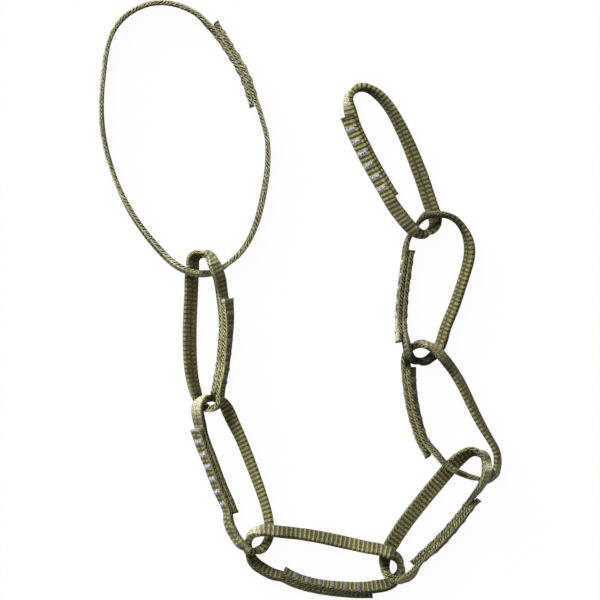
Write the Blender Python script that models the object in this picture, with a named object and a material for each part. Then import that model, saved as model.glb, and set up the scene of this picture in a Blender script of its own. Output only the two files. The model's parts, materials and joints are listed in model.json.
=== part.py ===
"""Climbing daisy chain: one long harness loop and seven clip loops of flat webbing.

Each loop is one strip of webbing laid through the loop before it, overlapped and sewn with six
bar tacks. The chain lies on the ground in a curl. Metres, +Z up, origin at the bottom centre.
"""
import math

import bmesh
import bpy
import numpy as np
from mathutils import Matrix, Vector

# Length of each loop, from its link to its far end
HARNESS_LOOP_LENGTH = 0.2112
CLIP_LOOP_LENGTH = 0.1100

# Flat webbing
WEBBING_WIDTH = 0.0120
WEBBING_THICKNESS = 0.0039
WEBBING_CORNER = 0.0010

# Overlap of a strip's two ends
LAYER_GAP = 0.0004
LAP_EASE_LENGTH = 0.0180
SPREAD_LENGTH = 0.0095

# Webbing bunches up where it bends edgewise: thickest at the tight bend, plain at the easy one
BUNCH_SHARE = 0.55
BUNCH_ROLL = math.radians(20)
TIGHT_BEND_RADIUS = 0.0080
EASY_BEND_RADIUS = 0.0180

# Room left between a strand and the strand that it passes over
LINK_ROOM = 0.0008
LINK_OVERRUN = 0.0004

# Bar tacks, whose pitch is a share of a clip loop's length
TACK_COUNT = 6
TACK_PITCH_SHARE = 0.0963
TACK_PITCH = TACK_PITCH_SHARE * CLIP_LOOP_LENGTH
TACK_WIDTH = 0.0084
TACK_LENGTH = 0.0038
TACK_HEIGHT = 0.0008
TACK_STEM_WIDTH = 0.0070
TACK_CLEARANCE = 0.0004
SLOT_OVERRUN = 0.0020

# Spacing of the sections along a strip
SECTION_SPACING = 0.0150
SECTION_TURN = math.radians(18)
SECTION_ROLL = math.radians(32)
SAMPLE_COUNT = 1440
FINE_COUNT = 2400

# The loops' length on the picture that the outlines below were read from
HARNESS_LENGTH_PIXELS = 264.0
CLIP_LENGTH_PIXELS = 137.5

# Centres of the seven links, in picture pixels, y downward
LINK_PIXELS = [(205, 266), (211, 404), (257, 542), (392, 567), (474, 467), (419, 352.5), (425, 224.5)]

# Rise of a strand over the one below it, as shares of a clip loop's length
RISE_SHARE = 0.20
TIGHT_RISE_SHARE = 0.086

# Overlap of each strip's two ends, as shares of a clip loop's length
HARNESS_LAP_SHARE = 0.673
CLIP_LAP_SHARES = [0.698, 0.673, 0.673, 0.673, 0.673, 0.673, 0.673]

# Straight run of each strip's inner and outer free end, as shares of the lap
HARNESS_FREE_SHARES = (0.07, 0.16)
CLIP_FREE_SHARES = [(0.05, 0.07), (0.07, 0.07), (0.07, 0.07), (0.07, 0.19), (0.07, 0.16), (0.07, 0.10), (0.07, 0.07)]

# Stand-off of each strip's inner and outer free end, as shares of the webbing's thickness
HARNESS_SPREAD_SHARES = (0.15, 0.25)
CLIP_SPREAD_SHARES = [(0.08, 0.25), (0.20, 0.25), (0.15, 0.20), (0.15, 0.45), (0.05, 0.20), (0.30, 0.30), (0.15, 0.25)]

# Inside outline of each loop, once round from the strip's inner end, in picture pixels: x, y and the
# webbing's roll in degrees, where 0 stands on edge and + shows the outer face from above. A row that
# passes over another strand adds that strand's roll, and 1 or -1 where the loop's tight bend comes
# after or before it.
HARNESS_LOOP_PIXELS = [
    (253, 107, 0), (244.3, 81, 0), (228.8, 53, 0), (210, 28, -7), (195, 15.8, -2), (175, 6.9, 0),
    (155, 5.4, 0), (136.3, 11.6, 0), (122, 22.9, 0), (114.8, 34.5, 2), (107, 70.3, 4), (104, 114.9, 0),
    (113, 164.5, 0), (134.6, 211.6, 7), (161.8, 246.6, 12), (178, 261.5, 13), (193, 268.5, 13, -60, 1),
    (209, 269.3, 12), (226.6, 261.5, 0), (245.4, 239.9, -6), (259.2, 198, -8), (265, 158, -4),
    (261.5, 126, 0)]

CLIP_LOOP_PIXELS = [
    [(213.5, 394.5, 20, -33, -1), (217.1, 371, 20), (219.5, 349, 22), (220.7, 329.3, 26), (219.8, 312, 36),
     (217.5, 298, 42), (214.7, 287, 45), (212, 277.5, 48), (209, 269.5, 48, 0, 1), (206.4, 262.4, 40),
     (203.8, 258.4, 10), (201.2, 259.4, -34), (200, 265.5, -48), (199.6, 273, -54), (198.9, 285.9, -56),
     (197.5, 320, -56), (197.3, 350, -55), (198.8, 374, -47), (201.5, 389, -38), (204, 397, -32),
     (206.8, 402, -18), (210, 404, 0), (212.6, 401.5, 12, -33, -1)],
    [(236, 514, 28), (228.4, 491.8, 31), (218.5, 466.5, 32), (212.4, 450, 34), (207.5, 436, 38),
     (205.3, 422, 46), (204.8, 411, 48), (205.5, 405.3, 34, -28, 1), (208, 402.6, 10),
     (212, 402.2, -8), (216.3, 404.8, -30), (220.3, 411.3, -46), (225.2, 422, -46), (233.1, 437, -37),
     (241.5, 456.8, -34), (249.3, 476.8, -31), (256.7, 496.5, -27), (261.6, 512.8, -26),
     (263.8, 526, -26), (263.8, 535, -25), (261.5, 541.5, -22), (257, 545.9, -8), (252.3, 546, 14),
     (249.8, 543.8, 21, -14, -1), (247, 540.8, 29), (242.5, 535.3, 34), (239, 529.4, 35),
     (236.6, 521, 33)],
    [(283.6, 568.6, -28), (291.2, 572.2, -26), (311.2, 579.5, -24), (331, 582.7, -26),
     (350, 583.6, -33), (366, 583.1, -39), (375, 581.4, -42), (384, 578.6, -44), (391, 574.4, -38),
     (395.6, 570.6, -18), (396.6, 566, 0), (394, 562, 20), (388.5, 559.3, 36),
     (380, 556.3, 42, -66, -1), (368, 553.9, 42), (343.5, 549.3, 44), (318.8, 543.8, 41),
     (299, 540.5, 40), (279.2, 537.9, 42), (267, 536.5, 42, -44, 1), (259, 536.8, 32),
     (253.8, 539.3, 8), (252.3, 544, -10), (253.8, 549.5, -20), (257.5, 556, -36), (265.5, 562.8, -38),
     (275.5, 566.8, -34)],
    [(411.6, 563.2, 12), (430.6, 544.8, 11), (445.4, 529.5, 11), (460.2, 512.2, 8), (471, 496.8, 9),
     (475.2, 488.3, 18), (477.5, 480.5, 26, -5, 1), (479.6, 473.5, 33, -5, 1), (480.3, 463, 34),
     (479.4, 458, 16), (475.6, 457, -20), (469.5, 460, -46), (461.8, 467, -62), (454, 475.5, -70),
     (443.8, 487.5, -74), (425.8, 509.3, -74), (410.7, 529.1, -74), (401.4, 543.2, -70),
     (395.8, 552.5, -62), (391.8, 560.3, -46), (390.5, 567, -28), (391.8, 572.2, -8),
     (395.7, 574.2, 12, -46, -1), (400.6, 572.8, 26), (405.4, 569.6, 26)],
    [(413.9, 366, -28), (414.3, 375, -26), (414.9, 389.3, -20), (417.7, 408.7, -17),
     (422.4, 428.6, -12), (427, 440.5, -12), (433, 448, -12), (441, 456.3, -11),
     (450.5, 463.3, -10, -72, 1), (459.5, 468.6, -8), (468, 472.6, -6), (477, 475.8, 0),
     (485, 475.6, 10), (490.6, 471, 18), (492.8, 462, 20), (492, 452.5, 16), (488, 444.4, 15),
     (476.7, 426.7, 22), (466.2, 406.8, 26), (455.8, 386.1, 29), (444.4, 368.9, 32),
     (436.5, 359.6, 33), (430.5, 353.3, 30, -46, 1), (426, 350, 20), (420, 348.4, 8),
     (414.9, 350.3, -5), (412.4, 355, -18)],
    [(411.4, 250, 7), (408.5, 275.6, 8), (406, 295.3, 8), (404.8, 315.4, 9), (405, 330, 12),
     (407.4, 340, 17), (410.4, 348, 22, -28, 1), (413.5, 353.4, 20), (417.5, 356.8, 6),
     (422.6, 356.8, -12), (427.6, 353.3, -26), (431.8, 347.7, -34), (434.9, 341.3, -36),
     (439, 328.2, -34), (447, 308.2, -33), (454.2, 288.2, -31), (460.4, 268.2, -32),
     (463.4, 250.2, -34), (461, 234.3, -20), (452.2, 221.9, -8), (442.5, 218.6, -10),
     (434, 218.9, -12, -66, 1), (426.5, 220.3, -12), (421.3, 224, -5), (417, 229.5, 1),
     (412.8, 238, 3)],
    [(397.3, 194.8, 52), (383.4, 170.6, 54), (374.5, 154.5, 54), (366.3, 138.1, 54),
     (358.9, 121.8, 52), (354.9, 108, 42), (353.8, 98.5, 20), (356.5, 93.8, 0), (362.4, 92.3, -15),
     (372.5, 97.6, -29), (384.9, 111.8, -34), (393.6, 128.4, -42), (401, 144.8, -48),
     (409.6, 167.4, -60), (415.9, 184.8, -66), (421.8, 203.2, -68), (425.6, 214, -66),
     (427.9, 221.5, -56), (427.6, 226.6, -26), (424.4, 229.2, 14), (420.5, 227.6, 38),
     (416.2, 223.4, 50, 16, -1), (411, 217, 57), (404.3, 207.5, 58)]]

OLIVE = (0.110, 0.104, 0.052, 1.0)
THREAD_GREY = (0.360, 0.340, 0.350, 1.0)
WEBBING_ROUGHNESS = 0.85
THREAD_ROUGHNESS = 0.65


def make_material(name, colour, roughness):
    """One Principled material."""
    material = bpy.data.materials.new(name)
    material.use_nodes = True
    shader = material.node_tree.nodes["Principled BSDF"]
    shader.inputs["Base Color"].default_value = colour
    shader.inputs["Roughness"].default_value = roughness
    shader.inputs["Metallic"].default_value = 0.0
    return material


def ease(x):
    """Smooth step from 0 to 1."""
    x = np.clip(x, 0, 1)
    return x * x * (3 - 2 * x)


def unit(rows):
    """Rows scaled to length one."""
    return rows / np.linalg.norm(rows, axis=1)[:, None]


def stand_height(roll, thickness=WEBBING_THICKNESS):
    """Height of the rolled webbing above what it lies on."""
    return WEBBING_WIDTH * np.cos(roll) + thickness * np.abs(np.sin(roll))


def plan_width(roll, thickness=WEBBING_THICKNESS):
    """Width of the rolled webbing seen from above."""
    return WEBBING_WIDTH * np.abs(np.sin(roll)) + thickness * np.cos(roll)


def closed_spline(rows, count):
    """Periodic cubic spline through the rows, with the chords of x and y as its knots.

    The second derivatives m solve h0 m0 + 2 (h0 + h1) m1 + h1 m2 = 6 (slope1 - slope0) at each row.
    """
    rows = np.asarray(rows, dtype=float)
    chords = np.hypot(*(np.roll(rows, -1, axis=0) - rows)[:, :2].T)
    number = len(rows)
    matrix = np.zeros((number, number))
    right = np.zeros_like(rows)
    for i in range(number):
        after = (i + 1) % number
        matrix[i, i - 1] += chords[i - 1]
        matrix[i, i] += 2 * (chords[i - 1] + chords[i])
        matrix[i, after] += chords[i]
        right[i] = 6 * ((rows[after] - rows[i]) / chords[i] - (rows[i] - rows[i - 1]) / chords[i - 1])
    bend = np.linalg.solve(matrix, right)
    knots = np.concatenate([[0], np.cumsum(chords)])
    place = np.linspace(0, knots[-1], count, endpoint=False)
    k = np.clip(np.searchsorted(knots, place, side="right") - 1, 0, number - 1)
    j = (k + 1) % number
    step = chords[k][:, None]
    a = (knots[k + 1] - place)[:, None] / step
    b = 1 - a
    curve = a * rows[k] + b * rows[j] + ((a ** 3 - a) * bend[k] + (b ** 3 - b) * bend[j]) * step * step / 6
    return curve, knots[:-1] / knots[-1]


def bunched_thickness(inside, roll):
    """Thickness of the webbing round a loop, from the radius of its inside outline and its roll.

    The radius is that of the circle through three points of the outline.
    """
    ahead, behind = np.roll(inside, -1, axis=0) - inside, inside - np.roll(inside, 1, axis=0)
    chord = np.linalg.norm(ahead + behind, axis=1)
    sides = np.linalg.norm(ahead, axis=1) * np.linalg.norm(behind, axis=1) * chord
    curvature = 2 * np.abs(behind[:, 0] * ahead[:, 1] - behind[:, 1] * ahead[:, 0]) / sides
    easy, tight = 1 / EASY_BEND_RADIUS, 1 / TIGHT_BEND_RADIUS
    bend = ease((curvature - easy) / (tight - easy))
    return WEBBING_THICKNESS * (1 + BUNCH_SHARE * bend * np.exp(-(roll / BUNCH_ROLL) ** 2))


def route_of(table, scale, lap):
    """The centre line of one loop, once round: plan, outward direction, roll, lift and arc length."""
    rows = [(row[0] * scale, -row[1] * scale, math.radians(row[2])) for row in table]
    dense, shares = closed_spline(rows, SAMPLE_COUNT)
    inside, roll = dense[:, :2], dense[:, 2]
    ahead, behind = np.roll(inside, -1, axis=0), np.roll(inside, 1, axis=0)
    turn = np.sign(np.sum(inside[:, 0] * ahead[:, 1] - ahead[:, 0] * inside[:, 1]))
    tangent = unit(ahead - behind)
    out = np.stack([tangent[:, 1], -tangent[:, 0]], axis=1) * turn
    thickness = bunched_thickness(inside, roll)
    plan = inside + out * plan_width(roll, thickness)[:, None] / 2
    steps = np.linalg.norm(np.roll(plan, -1, axis=0) - plan, axis=1)
    arc = np.concatenate([[0], np.cumsum(steps)])
    total = arc[-1]
    arc = arc[:-1]
    lift = np.zeros(SAMPLE_COUNT)
    for share, row in zip(shares, table):
        if len(row) < 5:
            continue
        under = math.radians(row[3])
        centre = arc[round(share * SAMPLE_COUNT) % SAMPLE_COUNT]
        along = (arc - centre + total / 2) % total - total / 2
        rise = np.where(along * row[4] > 0, TIGHT_RISE_SHARE, RISE_SHARE) * CLIP_LOOP_LENGTH
        beyond = np.abs(along) - plan_width(under) / 2 - LINK_OVERRUN
        lift = np.maximum(lift, (stand_height(under) + LINK_ROOM) * (1 - ease(beyond / rise)))
    return {"plan": plan, "out": out, "roll": roll, "thickness": thickness, "lift": lift, "arc": arc,
            "total": total, "lap": lap}


def read_along(route, key, place):
    """Values of the route at places that may pass its start again."""
    values = route[key]
    keys = np.concatenate([route["arc"], route["arc"] + route["total"], [2 * route["total"]]])
    wrapped = np.concatenate([values, values, values[:1]])
    if values.ndim == 1:
        return np.interp(place, keys, wrapped)
    return np.stack([np.interp(place, keys, wrapped[:, i]) for i in range(values.shape[1])], axis=1)


def strip_of(route, place, free_shares, spread_shares):
    """Centre, outer-face normal and across direction of the strip at each place along it.

    The strip runs from its inner free end, through the lap, once round and through the lap again
    on the outside. Its layer leaves the loop's centre line by half a layer, eased beyond the lap.
    """
    total, lap = route["total"], route["lap"]
    layer = (WEBBING_THICKNESS + LAYER_GAP) / 2
    first = 1 - ease((place - lap) / LAP_EASE_LENGTH)
    last = ease((place - total + LAP_EASE_LENGTH) / LAP_EASE_LENGTH)
    begin = np.clip(1 - place / SPREAD_LENGTH, 0, 1) ** 2
    end = np.clip(1 - (total + lap - place) / SPREAD_LENGTH, 0, 1) ** 2
    spread = (end * spread_shares[1] - begin * spread_shares[0]) * WEBBING_THICKNESS
    offset = layer * (last - first) + spread
    held = np.clip(place, free_shares[0] * lap, total + (1 - free_shares[1]) * lap)
    plan, out = read_along(route, "plan", held), unit(read_along(route, "out", held))
    roll, lift = read_along(route, "roll", held), read_along(route, "lift", held)
    nearby = LAYER_GAP
    ahead = unit(read_along(route, "plan", held + nearby) - read_along(route, "plan", held - nearby))
    plan = plan + ahead * (place - held)[:, None]
    doubled = np.maximum(first, last)
    thickness = read_along(route, "thickness", held)
    height = stand_height(roll, thickness) / 2 + lift + layer * np.abs(np.sin(roll)) * doubled
    side = np.column_stack([out, np.zeros(len(place))])
    up = np.array([0.0, 0.0, 1.0])
    sine, cosine = np.sin(roll)[:, None], np.cos(roll)[:, None]
    normal = side * cosine + up * sine
    across = up * cosine - side * sine
    centre = np.column_stack([plan, height]) + normal * offset[:, None]
    thickness = WEBBING_THICKNESS + (thickness - WEBBING_THICKNESS) * (1 - doubled)
    return {"centre": centre, "normal": normal, "across": across, "roll": roll, "thickness": thickness}


def section_places(route, free_shares, spread_shares):
    """Places of the sections, closer together where the strip bends or rolls.

    The lap's two layers have their sections at the same places, so that their facets lie parallel.
    """
    stretches = []
    for begin, end in ((0, route["lap"]), (route["lap"], route["total"])):
        fine = np.linspace(begin, end, FINE_COUNT)
        strip = strip_of(route, fine, free_shares, spread_shares)
        heading = unit(np.gradient(strip["centre"], axis=0))
        bend = np.arccos(np.clip(np.sum(heading[1:] * heading[:-1], axis=1), -1, 1))
        rolled = np.abs(np.diff(strip["roll"]))
        measure = np.diff(fine) / SECTION_SPACING + bend / SECTION_TURN + rolled / SECTION_ROLL
        measure = np.concatenate([[0], np.cumsum(measure)])
        even = np.linspace(0, measure[-1], math.ceil(measure[-1]) + 1)
        stretches.append(np.interp(even, measure, fine))
    lap, rest = stretches
    return np.concatenate([lap[:-1], rest[:-1], lap + route["total"]])


def section_outline():
    """The webbing's section: a flat bar with its corners cut."""
    w, t, c = WEBBING_WIDTH / 2, WEBBING_THICKNESS / 2, WEBBING_CORNER
    return [(-w, c - t), (c - w, -t), (w - c, -t), (w, c - t), (w, t - c), (w - c, t), (c - w, t), (-w, t - c)]


def strip_rings(strip):
    """Points of every section, one ring for each place."""
    swell = (strip["thickness"] / WEBBING_THICKNESS)[:, None]
    return np.stack([strip["centre"] + a * strip["across"] + b * swell * strip["normal"]
                     for a, b in section_outline()], axis=1)


def webbing_mesh(name, rings):
    """Closed mesh lofted through rolled sections, which no sweep of one upright profile makes.

    The inner and outer faces are split along the same diagonals, so that a lap's layers stay apart.
    """
    bm = bmesh.new()
    verts = [[bm.verts.new(point) for point in ring] for ring in rings]
    corners = len(verts[0])
    for one, two in zip(verts[:-1], verts[1:]):
        for i in range(corners):
            j = (i + 1) % corners
            if i < corners // 2:
                bm.faces.new((one[i], one[j], two[i]))
                bm.faces.new((one[j], two[j], two[i]))
            else:
                bm.faces.new((one[i], one[j], two[j]))
                bm.faces.new((one[i], two[j], two[i]))
    bm.faces.new(verts[0][::-1])
    bm.faces.new(verts[-1])
    bmesh.ops.recalc_face_normals(bm, faces=bm.faces)
    mesh = bpy.data.meshes.new(name)
    bm.to_mesh(mesh)
    bm.free()
    mesh.shade_smooth()
    mesh.set_sharp_from_angle(angle=math.radians(30))
    return mesh


def tack_frames(route, free_shares, spread_shares):
    """Middle of the lap and its directions at each bar tack: across, normal and along."""
    first = (route["lap"] - TACK_PITCH * (TACK_COUNT - 1)) / 2
    place = first + TACK_PITCH * np.arange(TACK_COUNT)
    middle, ahead, across = [], [], []
    for layer_place in (place, place + route["total"]):
        here = strip_of(route, layer_place, free_shares, spread_shares)
        after = strip_of(route, layer_place + TACK_LENGTH / 2, free_shares, spread_shares)
        before = strip_of(route, layer_place - TACK_LENGTH / 2, free_shares, spread_shares)
        middle.append(here["centre"])
        ahead.append(after["centre"] - before["centre"])
        across.append(here["across"])
    frames = []
    for i in range(TACK_COUNT):
        along = Vector(ahead[0][i] + ahead[1][i]).normalized()
        normal = along.cross(Vector(across[0][i] + across[1][i])).normalized()
        frame = Matrix((normal.cross(along), normal, along)).transposed().to_4x4()
        frame.translation = Vector((middle[0][i] + middle[1][i]) / 2)
        frames.append(frame)
    return frames


def tack_top():
    """Height of a tack's outer face above the middle of the lap."""
    return WEBBING_THICKNESS + LAYER_GAP / 2 + TACK_CLEARANCE + TACK_HEIGHT


def tack_corners(frames):
    """Outer corners of the bar tacks of one lap."""
    half = (TACK_WIDTH / 2, tack_top(), TACK_LENGTH / 2)
    corners = [(half[0] * a, half[1] * b, half[2] * c) for a in (-1, 1) for b in (-1, 1) for c in (-1, 1)]
    return [np.array(frame @ Vector(corner)) for frame in frames for corner in corners]


def tack_mesh(name):
    """Bar tack: a pad on each face of the lap, joined by a stem through both layers."""
    pad, stem = TACK_WIDTH / 2, TACK_STEM_WIDTH / 2
    top = tack_top()
    seat = top - TACK_HEIGHT
    half = [(stem, -seat), (pad, -seat), (pad, -top)]
    right = [(stem, seat), (pad, seat), (pad, top)]
    outline = right + [(-x, y) for x, y in right[::-1]]
    outline += [(-x, y) for x, y in half] + half[::-1]
    curve = bpy.data.curves.new(name, "CURVE")
    curve.dimensions = "2D"
    curve.fill_mode = "BOTH"
    curve.extrude = TACK_LENGTH / 2
    spline = curve.splines.new("POLY")
    spline.points.add(len(outline) - 1)
    for point, (x, y) in zip(spline.points, outline):
        point.co = (x, y, 0, 1)
    spline.use_cyclic_u = True
    maker = bpy.data.objects.new(name, curve)
    bpy.context.scene.collection.objects.link(maker)
    bpy.context.view_layer.update()
    mesh = bpy.data.meshes.new_from_object(maker.evaluated_get(bpy.context.evaluated_depsgraph_get()))
    bpy.data.objects.remove(maker)
    bpy.data.curves.remove(curve)
    bm = bmesh.new()
    bm.from_mesh(mesh)
    bmesh.ops.remove_doubles(bm, verts=bm.verts, dist=WEBBING_CORNER / 100)
    bmesh.ops.recalc_face_normals(bm, faces=bm.faces)
    bm.to_mesh(mesh)
    bm.free()
    return mesh


def slot_cutter(name, frames, origin, collection):
    """Boxes that cut the tacks' slots through both layers of one lap."""
    size = Vector((TACK_STEM_WIDTH + 2 * TACK_CLEARANCE,
                   2 * WEBBING_THICKNESS + LAYER_GAP + 2 * SLOT_OVERRUN,
                   TACK_LENGTH + 2 * TACK_CLEARANCE))
    bm = bmesh.new()
    for frame in frames:
        place = Matrix.Translation(-origin) @ frame @ Matrix.Diagonal(size).to_4x4()
        bmesh.ops.create_cube(bm, size=1, matrix=place)
    mesh = bpy.data.meshes.new(name)
    bm.to_mesh(mesh)
    bm.free()
    cutter = bpy.data.objects.new(name, mesh)
    cutter.hide_render = True
    cutter.display_type = "WIRE"
    collection.objects.link(cutter)
    return cutter


def main():
    for item in list(bpy.data.objects):
        bpy.data.objects.remove(item)
    scene = bpy.context.scene
    parts = bpy.data.collections.new("climbing_daisy_chain")
    cutters = bpy.data.collections.new("climbing_daisy_chain_cutters")
    scene.collection.children.link(parts)
    scene.collection.children.link(cutters)

    # Each link's place: a loop's length scales the way from the link before it
    clip_scale = CLIP_LOOP_LENGTH / CLIP_LENGTH_PIXELS
    links = [np.zeros(2)]
    for one, two in zip(LINK_PIXELS[:-1], LINK_PIXELS[1:]):
        links.append(links[-1] + np.array([two[0] - one[0], one[1] - two[1]]) * clip_scale)
    harness_scale = HARNESS_LOOP_LENGTH / HARNESS_LENGTH_PIXELS
    loops = [("harness_loop", HARNESS_LOOP_PIXELS, harness_scale, 0, HARNESS_LAP_SHARE,
              HARNESS_FREE_SHARES, HARNESS_SPREAD_SHARES)]
    for i, table in enumerate(CLIP_LOOP_PIXELS):
        loops.append((f"clip_loop_{i + 1}", table, clip_scale, i, CLIP_LAP_SHARES[i],
                      CLIP_FREE_SHARES[i], CLIP_SPREAD_SHARES[i]))

    # Strips, laid from their links
    laid = []
    for name, table, scale, link, lap_share, free_shares, spread_shares in loops:
        route = route_of(table, scale, lap_share * CLIP_LOOP_LENGTH)
        link_pixel = LINK_PIXELS[link]
        route["plan"] = route["plan"] + links[link] - np.array([link_pixel[0], -link_pixel[1]]) * scale
        places = section_places(route, free_shares, spread_shares)
        rings = strip_rings(strip_of(route, places, free_shares, spread_shares))
        laid.append((name, link, rings, tack_frames(route, free_shares, spread_shares)))

    # The whole chain is centred on the ground
    points = np.concatenate([rings.reshape(-1, 3) for name, link, rings, frames in laid])
    points = np.concatenate([points, [corner for laid_one in laid for corner in tack_corners(laid_one[3])]])
    low, high = points.min(axis=0), points.max(axis=0)
    shift = -np.array([(low[0] + high[0]) / 2, (low[1] + high[1]) / 2, low[2]])

    tack_material = make_material("tack_thread", THREAD_GREY, THREAD_ROUGHNESS)
    tack = tack_mesh("bar_tack")
    tack.materials.append(tack_material)
    before = None
    before_origin = Vector((0, 0, 0))
    for name, link, rings, frames in laid:
        origin = Vector((*(links[link] + shift[:2]), 0))
        move = Matrix.Translation(Vector(shift))
        frames = [move @ frame for frame in frames]
        mesh = webbing_mesh(name + "_webbing", rings + shift - np.array(origin))
        mesh.materials.append(make_material(name + "_webbing", OLIVE, WEBBING_ROUGHNESS))
        webbing = bpy.data.objects.new(name + "_webbing", mesh)
        parts.objects.link(webbing)
        webbing.parent = before
        webbing.location = origin - before_origin
        cutter = slot_cutter(name + "_slots", frames, origin, cutters)
        cutter.parent = webbing
        slots = webbing.modifiers.new("tack_slots", "BOOLEAN")
        slots.operation = "DIFFERENCE"
        slots.solver = "EXACT"
        slots.object = cutter
        for i, frame in enumerate(frames):
            piece = bpy.data.objects.new(f"{name}_tack_{i + 1}", tack)
            parts.objects.link(piece)
            piece.parent = webbing
            piece.location = frame.translation - origin
            piece.rotation_euler = frame.to_euler()
        before = webbing
        before_origin = origin
    bpy.context.view_layer.update()


main()
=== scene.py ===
import json
import math

import bpy
import numpy as np
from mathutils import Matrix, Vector


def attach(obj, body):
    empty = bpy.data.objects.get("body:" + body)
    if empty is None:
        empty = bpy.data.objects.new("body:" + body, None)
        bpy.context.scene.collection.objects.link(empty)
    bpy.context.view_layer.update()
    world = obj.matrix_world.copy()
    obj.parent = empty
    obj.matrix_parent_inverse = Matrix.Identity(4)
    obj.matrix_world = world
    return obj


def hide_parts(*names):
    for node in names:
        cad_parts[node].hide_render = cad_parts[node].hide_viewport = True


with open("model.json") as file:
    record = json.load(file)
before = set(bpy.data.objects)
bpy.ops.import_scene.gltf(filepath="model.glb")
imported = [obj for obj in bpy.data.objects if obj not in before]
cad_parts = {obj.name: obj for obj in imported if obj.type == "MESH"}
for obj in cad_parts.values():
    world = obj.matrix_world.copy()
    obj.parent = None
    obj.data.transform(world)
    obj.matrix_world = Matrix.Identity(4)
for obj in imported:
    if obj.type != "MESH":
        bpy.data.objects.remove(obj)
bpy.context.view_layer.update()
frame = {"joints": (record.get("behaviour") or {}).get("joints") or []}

# Harness loop: the long loop that is hitched to the harness. One strip of narrow nylon webbing,
# 12 mm wide and nearly 4 mm thick, stands on its edge; its ends overlap and are sewn together.
# Every loop of the chain is made of this webbing, so its weave is worked out here.
WEBBING_WIDTH = 0.0120
WEBBING_THICKNESS = 0.0039
LAYER_GAP = 0.0004
CLIP_LOOP_LENGTH = 0.1100

# the picture laid on the ground: what one pixel covers, its middle pixel, and the first link, which
# lies where the frame has it
PIXEL = 0.0008
PICTURE_MIDDLE = 300
FIRST_LINK = (205, 266)
link_place = frame["joints"][0]["pos_m"]
GROUND_SHIFT = (link_place[0] - (FIRST_LINK[0] - PICTURE_MIDDLE) * PIXEL,
                link_place[1] - (PICTURE_MIDDLE - FIRST_LINK[1]) * PIXEL)

# inside outline of the loop, read off the picture once round from the strip's inner end: x, y, roll
# in degrees (0 on edge, + outer face up), and at a crossing the lower strand's roll and the side
# where the tight bend lies
HARNESS_OUTLINE = [
    (253, 107, 0), (244.3, 81, 0), (228.8, 53, 0), (210, 28, -7), (195, 15.8, -2), (175, 6.9, 0),
    (155, 5.4, 0), (136.3, 11.6, 0), (122, 22.9, 0), (114.8, 34.5, 2), (107, 70.3, 4),
    (104, 114.9, 0), (113, 164.5, 0), (134.6, 211.6, 7), (161.8, 246.6, 12), (178, 261.5, 13),
    (193, 268.5, 13, -60, 1), (209, 269.3, 12), (226.6, 261.5, 0), (245.4, 239.9, -6),
    (259.2, 198, -8), (265, 158, -4), (261.5, 126, 0)]
HARNESS_LAP_SHARE = 0.673
HARNESS_FREE_SHARES = (0.07, 0.16)
HARNESS_SPREAD_SHARES = (0.15, 0.25)
HARNESS_RIBS = ((0.0037, 0.15, 2), (0.0037, 0.3, 1))
HARNESS_RIB_DEPTH = 0.00036
HARNESS_POINT_SPACING = 0.0006


def smooth_step(x):
    """3x^2 - 2x^3, held between 0 and 1."""
    x = np.clip(x, 0, 1)
    return x * x * (3 - 2 * x)


def unit(rows):
    """Each row over its own length."""
    return rows / np.linalg.norm(rows, axis=1)[:, None]


def stand_height(roll, thickness=WEBBING_THICKNESS):
    """Height of the rolled webbing: width times cosine plus thickness times sine."""
    return WEBBING_WIDTH * np.cos(roll) + thickness * np.abs(np.sin(roll))


def plan_width(roll, thickness=WEBBING_THICKNESS):
    """Width of the rolled webbing from above: width times sine plus thickness times cosine."""
    return WEBBING_WIDTH * np.abs(np.sin(roll)) + thickness * np.cos(roll)


def closed_curve(rows, count):
    """Periodic cubic spline through the rows over their chords, solved as one cyclic system."""
    chords = np.hypot(*(np.roll(rows, -1, axis=0) - rows)[:, :2].T)
    number = len(rows)
    here = np.arange(number)
    before, after = (here - 1) % number, (here + 1) % number
    matrix = np.zeros((number, number))
    np.add.at(matrix, (here, before), chords[before])
    np.add.at(matrix, (here, here), 2 * (chords[before] + chords))
    np.add.at(matrix, (here, after), chords)
    slope = (rows[after] - rows) / chords[:, None]
    bend = np.linalg.solve(matrix, 6 * (slope - slope[before]))
    knots = np.concatenate([[0], np.cumsum(chords)])
    place = np.linspace(0, knots[-1], count, endpoint=False)
    k = np.clip(np.searchsorted(knots, place, side="right") - 1, 0, number - 1)
    j = after[k]
    step = chords[k][:, None]
    a = (knots[k + 1] - place)[:, None] / step
    b = 1 - a
    curve = (a * rows[k] + b * rows[j]
             + ((a ** 3 - a) * bend[k] + (b ** 3 - b) * bend[j]) * step * step / 6)
    return curve, knots[:-1] / knots[-1]


BUNCH_SHARE = 0.55
BUNCH_ROLL = math.radians(20)
TIGHT_BEND_RADIUS = 0.0080
EASY_BEND_RADIUS = 0.0180


def bunched_thickness(inside, roll):
    """Thickness where the webbing bends edgewise: t * (1 + share * bend * exp(-(roll / 20 deg)^2)).

    The bend is the curvature 2 |a x b| / (|a| |b| |a + b|) of three points of the outline, eased
    from 0 at the easy radius to 1 at the tight one.
    """
    ahead, behind = np.roll(inside, -1, axis=0) - inside, inside - np.roll(inside, 1, axis=0)
    chord = np.linalg.norm(ahead + behind, axis=1)
    sides = np.linalg.norm(ahead, axis=1) * np.linalg.norm(behind, axis=1) * chord
    curvature = 2 * np.abs(behind[:, 0] * ahead[:, 1] - behind[:, 1] * ahead[:, 0]) / sides
    easy, tight = 1 / EASY_BEND_RADIUS, 1 / TIGHT_BEND_RADIUS
    bend = smooth_step((curvature - easy) / (tight - easy))
    return WEBBING_THICKNESS * (1 + BUNCH_SHARE * bend * np.exp(-(roll / BUNCH_ROLL) ** 2))


PLAN_SAMPLES = 1440
LINK_ROOM = 0.0008
LINK_OVERRUN = 0.0004
RISE_LENGTH = 0.0220
TIGHT_RISE_LENGTH = 0.00946


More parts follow.
